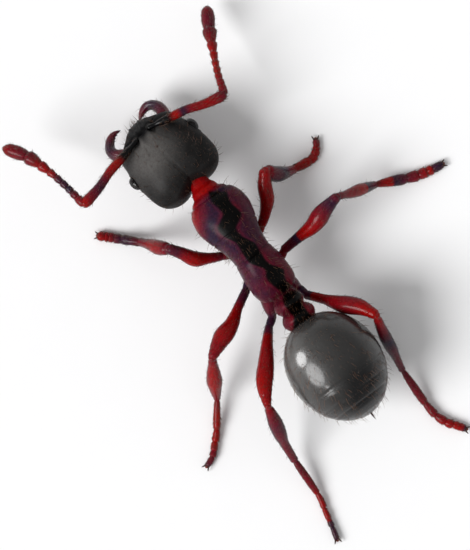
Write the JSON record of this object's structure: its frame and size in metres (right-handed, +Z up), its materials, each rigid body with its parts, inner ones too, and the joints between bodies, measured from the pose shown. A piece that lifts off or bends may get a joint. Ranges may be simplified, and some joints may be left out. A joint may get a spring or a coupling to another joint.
{
  "type": "fire ant",
  "caption": "Fire ant worker as a still, life-size model: dark glossy head and gaster, red trunk and legs, standing on its tarsi with feelers spread.",
  "frame": {"origin": "on the floor, under the middle of the whole ant's box", "axes": "+Z up; the ant faces -Y, so its own left side is +X"},
  "size_m": [0.0078, 0.0108, 0.0022],
  "materials": {
    "head_shell": "dark brown shell, soft gloss, finely lined",
    "eye": "black, faceted, glossy",
    "mandible_shell": "dark red shell with black teeth, lined lengthwise",
    "antenna_shell": "red shell with plum bands, satin with fine down",
    "trunk_shell": "dark red shell with a black zigzag band, satin",
    "waist_shell": "dark red shell with a black middle, satin",
    "gaster_shell": "grey-black shell, high gloss",
    "leg_shell": "bright red shell with plum bands, satin",
    "claw": "dark brown horn, glossy",
    "bristle": "fine golden-brown bristles and down"
  },
  "bodies": {
    "root": {"head": "head_shell", "eye_left": "eye", "mandible_left": "mandible_shell", "scape_left": "antenna_shell", "funiculus_left": "antenna_shell", "club_left": "antenna_shell", "eye_right": "eye", "mandible_right": "mandible_shell", "scape_right": "antenna_shell", "funiculus_right": "antenna_shell", "club_right": "antenna_shell", "neck": "trunk_shell", "pronotum": "trunk_shell", "mesothorax": "trunk_shell", "propodeum": "trunk_shell", "petiole": "waist_shell", "postpetiole": "waist_shell", "gaster_1": "gaster_shell", "gaster_2": "gaster_shell", "gaster_3": "gaster_shell", "gaster_4": "gaster_shell", "fore_left_coxa": "leg_shell", "fore_left_trochanter": "leg_shell", "fore_left_femur": "leg_shell", "fore_left_tibia": "leg_shell", "fore_left_tarsus": "leg_shell", "fore_right_coxa": "leg_shell", "fore_right_trochanter": "leg_shell", "fore_right_femur": "leg_shell", "fore_right_tibia": "leg_shell", "fore_right_tarsus": "leg_shell", "mid_left_coxa": "leg_shell", "mid_left_trochanter": "leg_shell", "mid_left_femur": "leg_shell", "mid_left_tibia": "leg_shell", "mid_left_tarsus": "leg_shell", "mid_right_coxa": "leg_shell", "mid_right_trochanter": "leg_shell", "mid_right_femur": "leg_shell", "mid_right_tibia": "leg_shell", "mid_right_tarsus": "leg_shell", "hind_left_coxa": "leg_shell", "hind_left_trochanter": "leg_shell", "hind_left_femur": "leg_shell", "hind_left_tibia": "leg_shell", "hind_left_tarsus": "leg_shell", "hind_right_coxa": "leg_shell", "hind_right_trochanter": "leg_shell", "hind_right_femur": "leg_shell", "hind_right_tibia": "leg_shell", "hind_right_tarsus": "leg_shell"}
  },
  "joints": []
}
